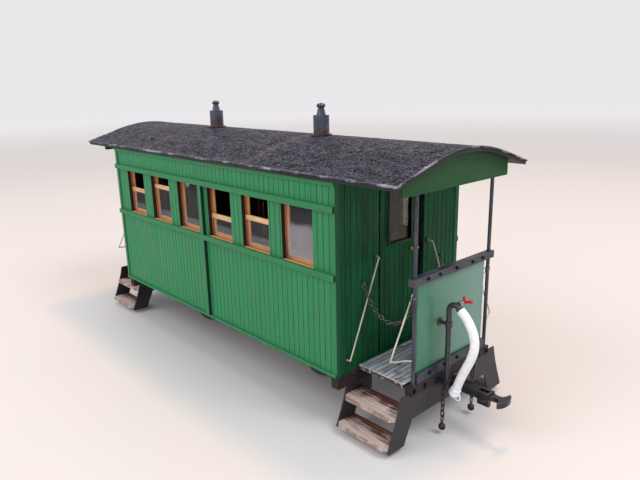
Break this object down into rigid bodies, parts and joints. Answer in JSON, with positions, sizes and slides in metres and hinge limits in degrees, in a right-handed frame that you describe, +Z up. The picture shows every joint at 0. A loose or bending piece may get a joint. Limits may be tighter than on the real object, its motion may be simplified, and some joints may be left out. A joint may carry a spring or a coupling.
{
  "type": "model passenger coach",
  "caption": "Two-axle narrow-gauge model passenger coach: planked body with drop windows, arched roof, railed end platforms with steps.",
  "frame": {"origin": "middle of the coach, on the plane the wheel flanges stand on", "axes": "+X along the coach towards its front end, +Y towards its left side, +Z up"},
  "size_m": [0.346, 0.1, 0.1551],
  "materials": {
    "green_boards": "painted satin",
    "dark_green_boards": "painted satin",
    "trim_green": "painted satin",
    "frame_dark": "painted matt",
    "lining_wood": "oiled",
    "sash_wood": "oiled",
    "roof_boards": "matt",
    "roof_felt": "tarred, wrinkled",
    "underframe_timber": "weathered matt",
    "floor_boards": "weathered matt",
    "tread_boards": "worn matt",
    "panel_green": "satin",
    "iron_grey": "matt",
    "iron_dark": "oiled dark",
    "wheel_iron": "turned treads, rusty discs",
    "axle_steel": "turned",
    "wire_cream": "painted, worn",
    "chain_iron": "rusted",
    "glass": "clear, dusty",
    "brass": "dulled",
    "handle_red": "gloss",
    "hose_white": "smooth satin"
  },
  "bodies": {
    "coach": {"body_floor": "underframe_timber", "side_wall_left": "green_boards", "side_wall_right": "green_boards", "end_wall_front": "dark_green_boards", "end_wall_rear": "dark_green_boards", "corner_strips": "green_boards", "side_battens": "trim_green", "door_frames": "frame_dark", "window_linings": "lining_wood", "roof_deck": "roof_boards", "roof_felt": "roof_felt", "headboards": "trim_green", "roof_vents": "iron_grey", "underframe": "underframe_timber", "headstocks": "underframe_timber", "platform_floors": "floor_boards", "platform_panels": "panel_green", "railing_beams": "iron_grey", "railing_posts": "iron_grey", "kick_strips": "iron_grey", "railing_bolts": "iron_dark", "step_plates": "iron_grey", "step_treads": "tread_boards", "grab_rails": "wire_cream", "safety_chains": "chain_iron", "axle_guards": "iron_dark", "axle_springs": "iron_dark", "standpipes": "iron_grey", "draw_boxes": "iron_dark", "eye_bolts": "iron_dark", "hose": "hose_white", "hose_coupling": "hose_white"},
    "wheelset_front": {"wheels_front": "wheel_iron", "axle_front": "axle_steel"},
    "wheelset_rear": {"wheels_rear": "wheel_iron", "axle_rear": "axle_steel"},
    "door_front": {"end_door_front": "dark_green_boards", "door_pane_front": "glass"},
    "door_rear": {"end_door_rear": "dark_green_boards", "door_pane_rear": "glass"},
    "lever_front": {"door_lever_front": "brass"},
    "lever_rear": {"door_lever_rear": "brass"},
    "buffer_front": {"buffer_front": "iron_dark"},
    "buffer_rear": {"buffer_rear": "iron_dark"},
    "cock_front": {"cock_handle_front": "handle_red"},
    "cock_rear": {"cock_handle_rear": "handle_red"},
    "chains_front": {"coupling_chains_front": "chain_iron"},
    "chains_rear": {"coupling_chains_rear": "chain_iron"},
    "window_right_1": {"window_right_1": "sash_wood"},
    "window_right_2": {"window_right_2": "sash_wood"},
    "window_right_3": {"window_right_3": "sash_wood"},
    "window_right_4": {"window_right_4": "sash_wood"},
    "window_right_5": {"window_right_5": "sash_wood"},
    "window_right_6": {"window_right_6": "sash_wood"},
    "window_left_1": {"window_left_1": "sash_wood"},
    "window_left_2": {"window_left_2": "sash_wood"},
    "window_left_3": {"window_left_3": "sash_wood"},
    "window_left_4": {"window_left_4": "sash_wood"},
    "window_left_5": {"window_left_5": "sash_wood"},
    "window_left_6": {"window_left_6": "sash_wood"}
  },
  "joints": [
    {"name": "wheelset_front_spin", "type": "hinge", "parent": "coach", "child": "wheelset_front", "pos_m": [0.06, 0, 0.0135], "axis": [0, 1, 0], "continuous": true},
    {"name": "door_front_swing", "type": "hinge", "parent": "coach", "child": "door_front", "pos_m": [0.1078, -0.01495, 0.0745], "axis": [0, 0, -1], "range_deg": [0, 90]},
    {"name": "lever_front_turn", "type": "hinge", "parent": "door_front", "child": "lever_front", "pos_m": [0.1078, 0.0096, 0.0818], "axis": [-1, 0, 0], "range_deg": [0, 40], "stiffness_Nm_per_rad": 0.0002},
    {"name": "buffer_front_plunge", "type": "slide", "parent": "coach", "child": "buffer_front", "axis": [-1, 0, 0], "range_m": [0, 0.004], "stiffness_N_per_m": 400},
    {"name": "cock_front_turn", "type": "hinge", "parent": "coach", "child": "cock_front", "pos_m": [0.1503, -0.006, 0.0673], "axis": [0, -1, 0], "range_deg": [0, 90]},
    {"name": "chains_front_swing", "type": "hinge", "parent": "coach", "child": "chains_front", "pos_m": [0.146, 0, 0.0275], "axis": [0, -1, 0], "range_deg": [-6, 18]},
    {"name": "wheelset_rear_spin", "type": "hinge", "parent": "coach", "child": "wheelset_rear", "pos_m": [-0.06, 0, 0.0135], "axis": [0, 1, 0], "continuous": true},
    {"name": "door_rear_swing", "type": "hinge", "parent": "coach", "child": "door_rear", "pos_m": [-0.1078, 0.01495, 0.0745], "axis": [0, 0, -1], "range_deg": [0, 90]},
    {"name": "lever_rear_turn", "type": "hinge", "parent": "door_rear", "child": "lever_rear", "pos_m": [-0.1078, -0.0096, 0.0818], "axis": [1, 0, 0], "range_deg": [0, 40], "stiffness_Nm_per_rad": 0.0002},
    {"name": "buffer_rear_plunge", "type": "slide", "parent": "coach", "child": "buffer_rear", "axis": [1, 0, 0], "range_m": [0, 0.004], "stiffness_N_per_m": 400},
    {"name": "cock_rear_turn", "type": "hinge", "parent": "coach", "child": "cock_rear", "pos_m": [-0.1503, 0.006, 0.0673], "axis": [0, 1, 0], "range_deg": [0, 90]},
    {"name": "chains_rear_swing", "type": "hinge", "parent": "coach", "child": "chains_rear", "pos_m": [-0.146, 0, 0.0275], "axis": [0, 1, 0], "range_deg": [-6, 18]},
    {"name": "window_right_1_drop", "type": "slide", "parent": "coach", "child": "window_right_1", "axis": [0, 0, 1], "range_m": [-0.011, 0.015]},
    {"name": "window_right_2_drop", "type": "slide", "parent": "coach", "child": "window_right_2", "axis": [0, 0, 1], "range_m": [-0.0168, 0.0092]},
    {"name": "window_right_3_drop", "type": "slide", "parent": "coach", "child": "window_right_3", "axis": [0, 0, 1], "range_m": [-0.026, 0]},
    {"name": "window_right_4_drop", "type": "slide", "parent": "coach", "child": "window_right_4", "axis": [0, 0, 1], "range_m": [-0.0072, 0.0188]},
    {"name": "window_right_5_drop", "type": "slide", "parent": "coach", "child": "window_right_5", "axis": [0, 0, 1], "range_m": [-0.0114, 0.0146]},
    {"name": "window_right_6_drop", "type": "slide", "parent": "coach", "child": "window_right_6", "axis": [0, 0, 1], "range_m": [-0.026, 0]},
    {"name": "window_left_1_drop", "type": "slide", "parent": "coach", "child": "window_left_1", "axis": [0, 0, 1], "range_m": [-0.026, 0]},
    {"name": "window_left_2_drop", "type": "slide", "parent": "coach", "child": "window_left_2", "axis": [0, 0, 1], "range_m": [-0.026, 0]},
    {"name": "window_left_3_drop", "type": "slide", "parent": "coach", "child": "window_left_3", "axis": [0, 0, 1], "range_m": [-0.026, 0]},
    {"name": "window_left_4_drop", "type": "slide", "parent": "coach", "child": "window_left_4", "axis": [0, 0, 1], "range_m": [-0.026, 0]},
    {"name": "window_left_5_drop", "type": "slide", "parent": "coach", "child": "window_left_5", "axis": [0, 0, 1], "range_m": [-0.026, 0]},
    {"name": "window_left_6_drop", "type": "slide", "parent": "coach", "child": "window_left_6", "axis": [0, 0, 1], "range_m": [-0.026, 0]}
  ]
}
